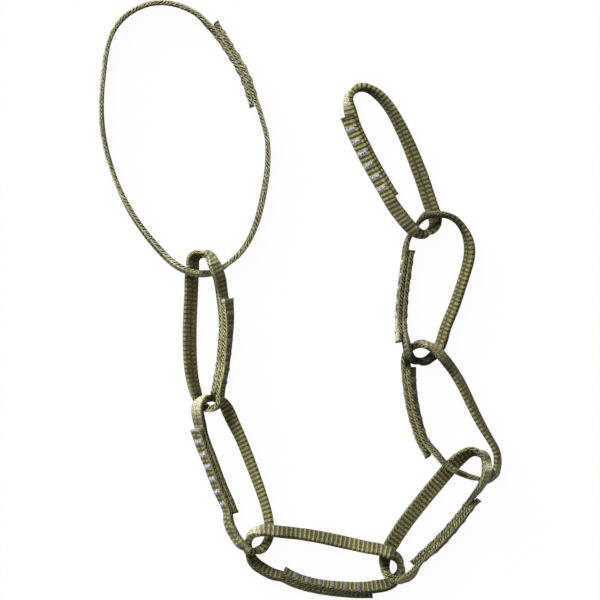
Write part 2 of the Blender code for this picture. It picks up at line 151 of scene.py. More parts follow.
def loop_route(outline, lap_share, free_shares, spread_shares):
    """Centre line of a loop: the inside outline moved out by half the webbing's plan width.

    The lift over a lower strand is that strand's height, eased away on both sides. The lap is a
    share of the clip loop's length, the free ends are shares of the lap, and each end spreads away
    from the other layer by a share of the thickness.
    """
    rows = np.array([(r[0] * PIXEL, -r[1] * PIXEL, math.radians(r[2])) for r in outline])
    rows[:, :2] += np.array([-PICTURE_MIDDLE * PIXEL, PICTURE_MIDDLE * PIXEL]) + GROUND_SHIFT
    dense, shares = closed_curve(rows, PLAN_SAMPLES)
    inside, roll = dense[:, :2], dense[:, 2]
    ahead, behind = np.roll(inside, -1, axis=0), np.roll(inside, 1, axis=0)
    turn = np.sign(np.sum(inside[:, 0] * ahead[:, 1] - ahead[:, 0] * inside[:, 1]))
    tangent = unit(ahead - behind)
    out = np.stack([tangent[:, 1], -tangent[:, 0]], axis=1) * turn
    thickness = bunched_thickness(inside, roll)
    plan = inside + out * plan_width(roll, thickness)[:, None] / 2
    steps = np.linalg.norm(np.roll(plan, -1, axis=0) - plan, axis=1)
    arc = np.concatenate([[0], np.cumsum(steps)])
    total = arc[-1]
    lift = np.zeros(PLAN_SAMPLES)
    for share, row in zip(shares, outline):
        if len(row) == 5:
            under = math.radians(row[3])
            centre = arc[round(share * PLAN_SAMPLES) % PLAN_SAMPLES]
            along = (arc[:-1] - centre + total / 2) % total - total / 2
            rise = np.where(along * row[4] > 0, TIGHT_RISE_LENGTH, RISE_LENGTH)
            beyond = np.abs(along) - plan_width(under) / 2 - LINK_OVERRUN
            over = (stand_height(under) + LINK_ROOM) * (1 - smooth_step(beyond / rise))
            lift = np.maximum(lift, over)
    lap = lap_share * CLIP_LOOP_LENGTH
    track = np.column_stack([plan, out, roll, lift, thickness])
    return {"total": total, "lap": lap, "clockwise": turn < 0,
            "free": [share * lap for share in free_shares],
            "spread": [share * WEBBING_THICKNESS for share in spread_shares],
            "keys": np.concatenate([arc[:-1], arc[:-1] + total, [2 * total]]),
            "track": np.concatenate([track, track, track[:1]])}


LAP_EASE_LENGTH = 0.0180
SPREAD_LENGTH = 0.0095


def strip_frames(route, place):
    """Centre, normal and across direction at each place along the strip, and how it is layered.

    The strip runs from its inner end through the lap, once round and through the lap outside. Each
    layer stands half a layer off the centre line, eased beyond the lap; free ends run straight on.
    """
    total, lap = route["total"], route["lap"]
    free, spread = route["free"], route["spread"]
    layer = (WEBBING_THICKNESS + LAYER_GAP) / 2
    first = 1 - smooth_step((place - lap) / LAP_EASE_LENGTH)
    last = smooth_step((place - total + LAP_EASE_LENGTH) / LAP_EASE_LENGTH)
    begin = np.clip(1 - place / SPREAD_LENGTH, 0, 1) ** 2
    end = np.clip(1 - (total + lap - place) / SPREAD_LENGTH, 0, 1) ** 2
    offset = layer * (last - first) + end * spread[1] - begin * spread[0]
    held = np.clip(place, free[0], total + lap - free[1])

    def read(at):
        return np.stack([np.interp(at, route["keys"], column) for column in route["track"].T],
                        axis=1)

    track = read(held)
    ahead = unit(read(held + LAYER_GAP)[:, :2] - read(held - LAYER_GAP)[:, :2])
    plan = track[:, :2] + ahead * (place - held)[:, None]
    out, roll, lift, thickness = unit(track[:, 2:4]), track[:, 4], track[:, 5], track[:, 6]
    doubled = np.maximum(first, last)
    height = stand_height(roll, thickness) / 2 + lift + layer * np.abs(np.sin(roll)) * doubled
    swell = 1 + (thickness / WEBBING_THICKNESS - 1) * (1 - doubled)
    side = np.column_stack([out, np.zeros(len(place))])
    up = np.array([0.0, 0.0, 1.0])
    sine, cosine = np.sin(roll)[:, None], np.cos(roll)[:, None]
    normal = side * cosine + up * sine
    across = up * cosine - side * sine
    return {"centre": np.column_stack([plan, height]) + normal * offset[:, None],
            "normal": normal, "across": across, "swell": swell, "first": first, "last": last}


FACE_POINTS = 24
EDGE_POINTS = 8
CORNER_POINTS = 4
CORNER_RADIUS = 0.0011


def bar_section():
    """Section of the webbing, once round: across, through, and the outward normal at each point.

    A rectangle's outline moved out by the corner radius: two flat faces and two flat edges, each
    followed by a quarter circle.
    """
    flat_w, flat_t = WEBBING_WIDTH / 2 - CORNER_RADIUS, WEBBING_THICKNESS / 2 - CORNER_RADIUS
    corners = np.array([(-flat_w, -flat_t), (flat_w, -flat_t), (flat_w, flat_t), (-flat_w, flat_t)])
    bends = np.linspace(0, np.pi / 2, CORNER_POINTS + 2)[1:-1]
    core, angle = [], []
    for side, count in enumerate([FACE_POINTS, EDGE_POINTS, FACE_POINTS, EDGE_POINTS]):
        start, end = corners[side], corners[(side + 1) % 4]
        turn = (side - 1) * np.pi / 2
        core += [np.linspace(start, end, count), np.tile(end, (CORNER_POINTS, 1))]
        angle += [np.full(count, turn), turn + bends]
    angle = np.concatenate(angle)
    # rounded, so that the edges' normals lean to neither face
    out = np.round(np.column_stack([np.cos(angle), np.sin(angle)]), 12)
    return np.column_stack([np.concatenate(core) + CORNER_RADIUS * out, out]).T


def tube_quads(rings, ring):
    """Faces between the rings of a tube, where point (i, j) is vertex i * ring + j.

    Every quad joins rings i, i + 1 and columns j, j + 1, the last column to the first.
    """
    i, j = np.meshgrid(np.arange(rings - 1), np.arange(ring), indexing="ij")
    k = (j + 1) % ring
    corners = (i * ring + j, i * ring + k, (i + 1) * ring + k, (i + 1) * ring + j)
    return np.stack(corners, axis=-1).reshape(-1, 4)


def smooth_mesh(name, vertices, faces):
    """A mesh of these faces, shaded smooth."""
    mesh = bpy.data.meshes.new(name)
    mesh.from_pydata(vertices, [], faces)
    mesh.polygons.foreach_set("use_smooth", np.ones(len(mesh.polygons), dtype=bool))
    return mesh


def tube_mesh(name, points, attributes, clockwise):
    """Tube through rings of points, closed at both ends by a fan to the ring's middle.

    Each attribute has one value or vector for every point, or for every ring or column. Where the
    loop runs clockwise, the faces are turned round, so that they point outwards too.
    """
    rings, ring = points.shape[:2]
    vertices = np.concatenate([points.reshape(-1, 3), points[[0, -1]].mean(axis=1)])
    here = np.arange(ring)
    after = (here + 1) % ring
    base = (rings - 1) * ring
    first = np.stack([np.full(ring, len(vertices) - 2), after, here], axis=1)
    last = np.stack([np.full(ring, len(vertices) - 1), base + here, base + after], axis=1)
    order = -1 if clockwise else 1
    faces = [rows[:, ::order].tolist() for rows in (tube_quads(rings, ring), first, last)]
    mesh = smooth_mesh(name, vertices, sum(faces, []))
    for key, values in attributes.items():
        values = np.broadcast_to(values, (rings, ring) + values.shape[2:])
        flat = values.reshape(rings * ring, -1)
        ends = values[[0, -1]].reshape(2, ring, -1).mean(axis=1)
        flat = np.concatenate([flat, ends]).astype(np.float32)
        kind, slot = ("FLOAT_VECTOR", "vector") if flat.shape[1] == 3 else ("FLOAT", "value")
        mesh.attributes.new(key, kind, "POINT").data.foreach_set(slot, flat.ravel())
    return mesh


MIDDLE_GROOVE = 0.0008
MIDDLE_GROOVE_DEPTH = 0.9
STAGGER_EASE = 0.0003


def rib_crown(place, across, pitch, stagger, columns):
    """Height of the ribs, 0 in a groove to 1 on a crown: |sin(pi (s / pitch + shift))|.

    In one column the shift leans the ribs by the stagger over the width. With two columns, the ribs
    of one half are shifted by the stagger, and between the halves runs a groove of
    1 - depth * exp(-(x / groove width)^2).
    """
    shift = stagger * across / WEBBING_WIDTH
    if columns == 2:
        shift = stagger * (0.5 + 0.5 * np.tanh(across / STAGGER_EASE))
    crown = np.abs(np.sin(np.pi * (place / pitch + shift)))
    if columns == 2:
        crown = crown * (1 - MIDDLE_GROOVE_DEPTH * np.exp(-(across / MIDDLE_GROOVE) ** 2))
    return crown


# stretches of a strip, as shares of its length
EVERYWHERE = (-1, 2)
NOWHERE = (2, 3)
ZONE_EASE = 0.03


def zone(share, stretch):
    """1 on a stretch of the strip and 0 outside it, eased over a small share of the strip."""
    return (smooth_step((share - stretch[0]) / ZONE_EASE)
            * smooth_step((stretch[1] - share) / ZONE_EASE))


MM_PER_METRE = 1000
FACE_REACH = 0.0045
FACE_BORDER = 0.0011
FACE_LEAN = 0.3
EDGE_DEPTH = 0.0003
EASY_CURVE = 0.040
TIGHT_CURVE = 0.018
BEND_WINDOW = 30
BEND_SLIMMING = 0.03
STRETCH_FLATTENING = 0.75
LEAST_WEAR_AND_HIGHLIGHT = 0.25
CUT_REACH = 0.00133
CUT_LEVEL = 1.8


def strap_mesh(name, route, spacing, ribs, rib_depth, plain, worn_and_highlit, painted_shade_stretch):
    """The strip as a tube of rounded sections, its faces lowered between the ribs' crowns.

    A face point moves in by depth * (1 - flattening * stretch) * (1 - crown), weighted by how
    squarely it faces out, and an edge point by its own depth where the edges are plain. In the lap
    the layers meet, so there a face moves out by half the gap. Stretch is the curvature of the
    centre line, eased from 0 at the easy curve to 1 at the tight one, times the side that the point
    faces and, on the outer face, its share of wear and painted highlight; the material paints a
    highlight where it is above 0 and shade where it is below. Tight bends are pulled slim: width *
    (1 - slimming * bend), thickness * (1 - slimming * bend)^2.
    """
    length = route["total"] + route["lap"]
    place = np.linspace(0, length, math.ceil(length / spacing))
    share = (place / length)[:, None]
    strip = strip_frames(route, place)
    across, through, out_across, out_through = bar_section()
    s, x, b = np.broadcast_arrays(place[:, None], across[None, :], through[None, :])
    inner, outer = (rib_crown(s, x, *rib) for rib in ribs)
    crown = np.where(out_through > 0, outer, inner)
    border = 1 - smooth_step((np.abs(across) - FACE_REACH) / FACE_BORDER)
    face = np.where(np.abs(out_through) > FACE_LEAN, border, 0)
    braid = 1 - zone(share, plain)

    # how tightly the centre line bends, averaged over a window along the strip
    heading = unit(np.gradient(strip["centre"], axis=0))
    bend = np.linalg.norm(np.gradient(heading, axis=0), axis=1) / place[1]
    window = np.hanning(2 * BEND_WINDOW + 3)[1:-1] / (BEND_WINDOW + 1)
    bend = np.convolve(np.pad(bend, BEND_WINDOW, mode="edge"), window, mode="valid")
    bend = smooth_step((bend - 1 / EASY_CURVE) / (1 / TIGHT_CURVE - 1 / EASY_CURVE))[:, None]
    slim = 1 - BEND_SLIMMING * bend
    # share of the rib flattening and of the painted highlight on bends, full on the listed
    # stretches
    wear_and_highlight = LEAST_WEAR_AND_HIGHLIGHT + (1 - LEAST_WEAR_AND_HIGHLIGHT) * zone(share, worn_and_highlit)
    stretch = bend * out_through * np.where(out_through > 0, wear_and_highlight, 1)

    layered = np.where(out_through > 0, strip["first"][:, None], strip["last"][:, None])
    meet = layered * np.abs(out_through)
    depth = rib_depth * (1 - STRETCH_FLATTENING * np.maximum(stretch, 0))
    move = depth * (crown - 1) * face * (1 - meet) + meet * LAYER_GAP / 2
    notch = EDGE_DEPTH * (crown - 1) * (1 - face) * (1 - braid)
    sideways = across * slim + (move + notch) * out_across
    outward = through * strip["swell"][:, None] * slim ** 2 + move * out_through
    points = (strip["centre"][:, None, :] + sideways[:, :, None] * strip["across"][:, None, :]
              + outward[:, :, None] * strip["normal"][:, None, :])
    outer_end, inner_end = (np.clip(CUT_LEVEL - reach[:, None] / CUT_REACH, 0, 1)
                            for reach in (length - place, place))
    # the last attribute marks the stretches that the material darkens as painted shade
    return tube_mesh(name, points, {
        "strip": np.stack([s, x, b], axis=2) * MM_PER_METRE, "crown": crown, "face": face,
        "cut": outer_end - inner_end, "stretch": stretch, "braid": braid,
        "painted_shade": zone(share, painted_shade_stretch)}, route["clockwise"])


def add_object(name, mesh, material):
    """A mesh object at the origin with its one material."""
    piece = bpy.data.objects.new(name, mesh)
    bpy.context.scene.collection.objects.link(piece)
    mesh.materials.append(material)
    return piece


def add_node(tree, kind, values=(), **settings):
    """A node with its settings and the values of its numbered or named sockets."""
    node = tree.nodes.new(kind)
    for key, value in settings.items():
        setattr(node, key, value)
    for socket, value in values:
        node.inputs[socket].default_value = value
    return node


def math_node(tree, operation, first, second=None):
    """Output of one Math node; each operand is a number or another node's output."""
    node = add_node(tree, "ShaderNodeMath", operation=operation)
    for socket, operand in zip(node.inputs, (first, second)):
        if isinstance(operand, (int, float)):
            socket.default_value = operand
        elif operand is not None:
            tree.links.new(operand, socket)
    return node.outputs[0]


def mixed(tree, share, one, two, blend="MIX"):
    """Colour mix one * (1 - share) + two * share; each is a colour or a node's output."""
    node = add_node(tree, "ShaderNodeMix", data_type="RGBA", blend_type=blend)
    for socket, operand in ((0, share), (6, one), (7, two)):
        if isinstance(operand, (int, float)):
            node.inputs[socket].default_value = operand
        elif isinstance(operand, tuple):
            node.inputs[socket].default_value = (*operand, 1.0)
        else:
            tree.links.new(operand, node.inputs[socket])
    return node.outputs[2]


def add_ramp(tree, value, levels):
    """Share (value - low) / (high - low) for two levels, held between 0 and 1 and smoothed."""
    low, high = levels
    node = add_node(tree, "ShaderNodeMapRange", [(1, low), (2, high), (3, 0.0), (4, 1.0)],
                    interpolation_type="SMOOTHSTEP")
    tree.links.new(value, node.inputs[0])
    return node.outputs[0]


def shaded(colour, share):
    """The colour times a share."""
    return tuple(share * channel for channel in colour)


# the webbing as dyed, its wear, a paler olive painted on stretched bends as highlight, a dark
# colour painted in folds as shade, and the cut ends
OLIVE = (0.300, 0.290, 0.125)
BROWN_OLIVE = (0.330, 0.285, 0.120)
MID_OLIVE = (0.465, 0.448, 0.230)
PALE_OLIVE = (0.480, 0.460, 0.275)
# painted highlight: the paler olive of the outer faces of bends
BEND_HIGHLIGHT_OLIVE = (0.66, 0.64, 0.43)
FLECK_COLOUR = (0.030, 0.030, 0.012)
# painted shade: the dark colour that the inner side of a tight bend is mixed towards
FOLD_SHADE_COLOUR = (0.018, 0.018, 0.009)
DARK_END = (0.060, 0.045, 0.030)
WHITE_END = (0.62, 0.60, 0.50)
PINK_END = (0.50, 0.42, 0.38)
BROWN_END = (0.16, 0.10, 0.08)

# dark flecks of the edges, in millimetres, and where they fade towards a plain edge's notches
FLECK_PITCH = 3.3
FLECK_SLANT = 0.45
FLECK_ROUGHNESS = 0.85
FLECK_DRIFT = 1.4
FLECK_LEVELS = (-0.30, 0.25)
BORDER_LEVELS = (0.5, 1.3)
NOTCH_LEVELS = (0.25, 0.75)
NOTCH_SHARE = 0.85

# rib crowns painted light and grooves painted dark as shade, inner and outer face tones that are
# partly painted shade, a painted highlight where bends stretch the face, brown in patches, and
# painted shade in folds and on listed stretches
GROOVE_LIGHT = 0.10
BEND_HIGHLIGHT_SHARE = 0.95
BEND_HIGHLIGHT_LEVELS = (-0.15, 0.40)
SIDE_LEVELS = (-0.5, 0.5)
BROWN_LEVELS = (0.48, 0.66)
SHADE_SHARE = 0.14
# painted shade on the stretches listed for each loop
PAINTED_SHADE_SHARE = 0.62

# mottling and bump: noise scales per millimetre, and how much each noise counts
GRAIN_SCALE = 1.1
DRIFT_SCALE = 0.35
PATCH_SCALE = 0.09
STREAK_STRETCH = (1.0, 0.42, 0.42)
STREAK_LEVELS = (0.36, 0.64)
STREAK_SHARE = 0.85
GRAIN_SHARE = 0.8
MOTTLE_BASE = 0.15
PATCH_SHARE = 0.5
PATCH_BASE = 0.75
ROUGHNESS_BASE = 0.68
ROUGHNESS_SHARE = 0.2
YARN_PITCH = 0.42
YARN_HEIGHT = 0.25
FLECK_SINK = 0.8
BUMP_STRENGTH = 0.7
BUMP_HEIGHT = 0.00025
WEBBING_GLOSS = 0.12
WEBBING_SHEEN = 0.05


def webbing_material(name, tones, edge_colour, groove_shade_tone, crest, end_colours):
    """Woven nylon seen from the strip's own place (s along, x across, b through, in mm).

    Faces: groove * (1 - light) + tone * light, where light follows the ribs' crowns from the crest
    up as a painted highlight and leaves the grooves in painted shade; the tone is one for the inner
    and one for the outer face, partly painted shade, painted paler as a highlight where a bend
    stretches the face and darker as shade where it squeezes it. Edges: pale selvage with dark
    flecks where sin(2 pi (s / fleck pitch + slant * b + noise)) is high, or dark notches in line
    with the ribs.
    """
    material = bpy.data.materials.new(name)
    material.use_nodes = True
    tree = material.node_tree
    shader = tree.nodes["Principled BSDF"]
    link = tree.links.new

    def read(key, output="Fac"):
        return add_node(tree, "ShaderNodeAttribute", attribute_name=key).outputs[output]

    def noise(vector, scale, detail, roughness):
        node = add_node(tree, "ShaderNodeTexNoise", [(2, scale), (3, detail), (4, roughness)])
        link(vector, node.inputs["Vector"])
        return node.outputs["Fac"]

    def plus(first, second):
        return math_node(tree, "ADD", first, second)

    def times(first, second):
        return math_node(tree, "MULTIPLY", first, second)

    def larger(first, second):
        return math_node(tree, "MAXIMUM", first, second)

    def without(share):
        return math_node(tree, "SUBTRACT", 1.0, share)

    strip, crown, face, cut = read("strip", "Vector"), read("crown"), read("face"), read("cut")
    bent, braid, painted_shade = read("stretch"), read("braid"), read("painted_shade")
    axes = add_node(tree, "ShaderNodeSeparateXYZ")
    link(strip, axes.inputs[0])
    s, x, b = axes.outputs
    squeezed = add_node(tree, "ShaderNodeMapping", [(3, STREAK_STRETCH)])
    link(strip, squeezed.inputs[0])
    grain = noise(strip, GRAIN_SCALE, detail=3.0, roughness=0.7)
    streaks = noise(squeezed.outputs[0], GRAIN_SCALE, detail=2.0, roughness=0.7)
    drift = noise(strip, DRIFT_SCALE, detail=1.0, roughness=0.5)
    patches = noise(strip, PATCH_SCALE, detail=2.0, roughness=0.5)

    # flecks and notches of the edges
    turns = plus(math_node(tree, "DIVIDE", s, FLECK_PITCH), times(b, FLECK_SLANT))
    turns = plus(turns, times(plus(grain, -0.5), FLECK_ROUGHNESS))
    turns = plus(turns, times(plus(drift, -0.5), FLECK_DRIFT))
    wave = math_node(tree, "SINE", times(turns, 2 * math.pi))
    border = without(add_ramp(tree, b, BORDER_LEVELS))
    fleck = times(times(add_ramp(tree, wave, FLECK_LEVELS), border), braid)
    notch = times(without(add_ramp(tree, crown, NOTCH_LEVELS)), times(without(braid), NOTCH_SHARE))
    fleck = times(larger(fleck, notch), without(face))

    # ribs of the faces: crests painted light and grooves painted dark as shade, a painted highlight
    # where a bend stretches the face and painted shade where a bend squeezes it
    # painted highlight: the outer face of a bend turns paler
    painted_bend_highlight = times(larger(bent, 0.0), BEND_HIGHLIGHT_SHARE)
    # painted shade: the inner side of a bend darkens towards the fold colour
    closed = times(larger(times(bent, -1.0), 0.0), SHADE_SHARE)
    # painted highlight on the rib crests and painted shade in the grooves
    light = plus(times(add_ramp(tree, crown, (crest, 1.0)), 1 - GROOVE_LIGHT), GROOVE_LIGHT)
    light = larger(light, times(painted_bend_highlight, add_ramp(tree, crown, BEND_HIGHLIGHT_LEVELS)))
    # inner and outer face tones: where the inner is the darker, that is painted shade of the inner
    # faces
    side = add_ramp(tree, b, SIDE_LEVELS)
    olive = mixed(tree, side, shaded(OLIVE, tones[0]), shaded(OLIVE, tones[1]))
    brown = mixed(tree, side, shaded(BROWN_OLIVE, tones[0]), shaded(BROWN_OLIVE, tones[1]))
    tone = mixed(tree, add_ramp(tree, patches, BROWN_LEVELS), olive, brown)
    colour = mixed(tree, light, shaded(OLIVE, groove_shade_tone),
                   mixed(tree, painted_bend_highlight, tone, BEND_HIGHLIGHT_OLIVE))
    edge = mixed(tree, braid, tone, edge_colour)
    colour = mixed(tree, face, mixed(tree, fleck, edge, FLECK_COLOUR), colour)
    colour = mixed(tree, closed, colour, FOLD_SHADE_COLOUR)

    # mottling: streaks across the strap, grain, slow patches of wear, and painted shade on the
    # stretches listed for each loop
    mottle = plus(times(add_ramp(tree, streaks, STREAK_LEVELS), STREAK_SHARE),
                  times(grain, GRAIN_SHARE))
    mottle = times(plus(mottle, MOTTLE_BASE), plus(times(patches, PATCH_SHARE), PATCH_BASE))
    # painted shade: darker on the stretches listed for each loop
    mottle = times(mottle, without(times(painted_shade, PAINTED_SHADE_SHARE)))
    colour = mixed(tree, 1.0, colour, mottle, blend="MULTIPLY")
    colour = mixed(tree, larger(cut, 0.0), colour, end_colours[1])
    colour = mixed(tree, larger(times(cut, -1.0), 0.0), colour, end_colours[0])
    link(colour, shader.inputs["Base Color"])

    # gloss and bump: fine yarns across the faces, grain, and flecks sunk into the edges
    link(plus(times(grain, ROUGHNESS_SHARE), ROUGHNESS_BASE), shader.inputs["Roughness"])
    shader.inputs["Specular IOR Level"].default_value = WEBBING_GLOSS
    shader.inputs["Sheen Weight"].default_value = WEBBING_SHEEN
    yarn = math_node(tree, "SINE", times(x, 2 * math.pi / YARN_PITCH))
    height = math_node(tree, "SUBTRACT", plus(times(yarn, YARN_HEIGHT), grain),
                       times(fleck, FLECK_SINK))
    bump = add_node(tree, "ShaderNodeBump",
                    [("Strength", BUMP_STRENGTH), ("Distance", BUMP_HEIGHT)])
    link(height, bump.inputs["Height"])
    link(bump.outputs["Normal"], shader.inputs["Normal"])
    return material


harness_route = loop_route(
    HARNESS_OUTLINE, HARNESS_LAP_SHARE, HARNESS_FREE_SHARES, HARNESS_SPREAD_SHARES)
harness_look = webbing_material(
    "harness_webbing_look", tones=(1.0, 1.0), edge_colour=PALE_OLIVE, groove_shade_tone=0.08, crest=0.35,
    end_colours=(DARK_END, DARK_END))
harness_strap = add_object("harness_loop_strap", strap_mesh(
    "harness_loop_strap", harness_route, HARNESS_POINT_SPACING, HARNESS_RIBS, HARNESS_RIB_DEPTH,
    plain=NOWHERE, worn_and_highlit=EVERYWHERE, painted_shade_stretch=NOWHERE), harness_look)
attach(harness_strap, "harness_loop")
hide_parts("harness_loop_webbing")

# Harness loop stitching: six bar tacks of polyester thread across the lap, each a dense block of
# zigzag stitches pulled into both faces. The same machine sews every loop's tacks, so the stitches
# are worked out here.
TACK_COUNT = 6
TACK_PITCH = 0.010593
TACK_WIDTH = 0.0094
TACK_LENGTH = 0.0038
TACK_SEAT = 0.00025


def tack_frames(route):
    """Middle of the lap and its across, normal and along directions at each bar tack."""
    first = (route["lap"] - TACK_PITCH * (TACK_COUNT - 1)) / 2
    place = first + TACK_PITCH * np.arange(TACK_COUNT)
    middle, ahead, across = 0, 0, 0
    for layer_place in (place, place + route["total"]):
        here = strip_frames(route, layer_place)
        after = strip_frames(route, layer_place + TACK_LENGTH / 2)
        before = strip_frames(route, layer_place - TACK_LENGTH / 2)
        middle = middle + here["centre"] / 2
        ahead = ahead + after["centre"] - before["centre"]
        across = across + here["across"]
    along = unit(ahead)
    normal = unit(np.cross(along, across))
    return middle, np.cross(normal, along), normal, along


STITCH_PITCH = 0.00048
STITCH_RADIUS = 0.00030
STITCH_SLANT = 0.2
STITCH_BOW = 0.0006
SHORTEST_STITCH = 0.80
LENGTH_SPREAD = 0.45
SLIDE_SPREAD = 0.0014
SLANT_SPREAD = 0.3
THREAD_SHARES = np.array([-1, -0.93, -0.7, 0, 0.7, 0.93, 1.0])
THREAD_SIDES = 6
TIP_LEVEL = 0.0004


def tack_threads(frames, seed):
    """Points of all threads of a loop's bar tacks, side by side along the strap on both faces.

    Each thread is a capsule: at share u of its half length its radius is r * (1 - u^4)^0.5 and it
    sinks by bow * u^4. Its length, place and slant vary a little, and neighbours slant apart.
    """
    radius, u = STITCH_RADIUS, THREAD_SHARES
    spots = np.arange(-TACK_WIDTH / 2 + radius, TACK_WIDTH / 2 - radius / 2, STITCH_PITCH)
    faces = np.array([-1, 1])
    chance = np.random.default_rng(seed).random((TACK_COUNT, len(faces), len(spots), 3, 1))
    half = TACK_LENGTH / 2 * (SHORTEST_STITCH + LENGTH_SPREAD * chance[:, :, :, 0])
    slide = (chance[:, :, :, 1] - 0.5) * SLIDE_SPREAD
    lean = np.where(np.arange(len(spots)) % 2, STITCH_SLANT, -STITCH_SLANT)[:, None]
    slant = lean + (chance[:, :, :, 2] - 0.5) * SLANT_SPREAD
    seat = WEBBING_THICKNESS + LAYER_GAP / 2 + TACK_SEAT - STITCH_BOW * u ** 4
    middle, across, normal, along = (rows[:, None, None, None, :] for rows in frames)
    core = ((spots[:, None] + slant * u * half)[..., None] * across
            + (slide + u * half)[..., None] * along
            + (faces[:, None] * seat)[:, None, :, None] * normal + middle)
    thick = radius * np.sqrt(np.maximum(1 - u ** 4, TIP_LEVEL))[:, None, None]
    angle = np.arange(THREAD_SIDES)[:, None] * 2 * np.pi / THREAD_SIDES
    ring = np.cos(angle) * across[..., None, :] + np.sin(angle) * normal[..., None, :]
    return (core[..., None, :] + thick * ring).reshape(-1, len(u), THREAD_SIDES, 3)


def stitch_object(name, frames, seed, material):
    """All the threads of one loop's tacks as one mesh of closed capsules."""
    threads = tack_threads(frames, seed)
    count, rings, ring = threads.shape[:3]
    base = np.arange(count)[:, None] * rings * ring
    tip = np.arange(ring)
    quads = (base[:, :, None] + tube_quads(rings, ring)).reshape(-1, 4)
    tips = [base + tip[::-1], base + (rings - 1) * ring + tip]
    return add_object(name, smooth_mesh(
        name, threads.reshape(-1, 3), quads.tolist() + np.concatenate(tips).tolist()), material)


THREAD_GRIME = (0.09, 0.085, 0.08)
THREAD_NOISE_SCALE = 900.0
THREAD_LEVELS = (0.34, 0.58)
THREAD_ROUGHNESS = 0.5
THREAD_BUMP_STRENGTH = 0.4
THREAD_BUMP_HEIGHT = 0.0001


def thread_material(name, bright):
    """Polyester thread: bright strands over a dark soiled base, mixed by fine noise, with a satin
    gloss.
    """
    material = bpy.data.materials.new(name)
    material.use_nodes = True
    tree = material.node_tree
    shader = tree.nodes["Principled BSDF"]
    place = add_node(tree, "ShaderNodeTexCoord")
    noise = add_node(tree, "ShaderNodeTexNoise", [(2, THREAD_NOISE_SCALE), (3, 2.0)])
    tree.links.new(place.outputs["Object"], noise.inputs["Vector"])
    strands = add_ramp(tree, noise.outputs["Fac"], THREAD_LEVELS)
    tree.links.new(mixed(tree, strands, THREAD_GRIME, bright), shader.inputs["Base Color"])
    shader.inputs["Roughness"].default_value = THREAD_ROUGHNESS
    bump = add_node(tree, "ShaderNodeBump",
                    [("Strength", THREAD_BUMP_STRENGTH), ("Distance", THREAD_BUMP_HEIGHT)])
    tree.links.new(noise.outputs["Fac"], bump.inputs["Height"])
    tree.links.new(bump.outputs["Normal"], shader.inputs["Normal"])
    return material


bright_thread = thread_material("bar_tack_thread_look", (0.72, 0.68, 0.72))
faded_thread = thread_material("faded_tack_thread_look", (0.34, 0.32, 0.29))
grimy_thread = thread_material("grimy_tack_thread_look", (0.20, 0.19, 0.19))
harness_stitching = stitch_object(
    "harness_loop_stitching", tack_frames(harness_route), seed=1, material=faded_thread)
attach(harness_stitching, "harness_loop")
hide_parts(*[f"harness_loop_tack_{n}" for n in range(1, TACK_COUNT + 1)])

# Clip loops: seven short loops of the same webbing, linked one through the next like a chain, each
# with its lap and six bar tacks on one long side. Where a loop bends round its neighbour it stands
# up over it, and its outer face is stretched, its ribs flattened and its colour painted paler as a
# highlight.
CLIP_POINT_SPACING = 0.00045
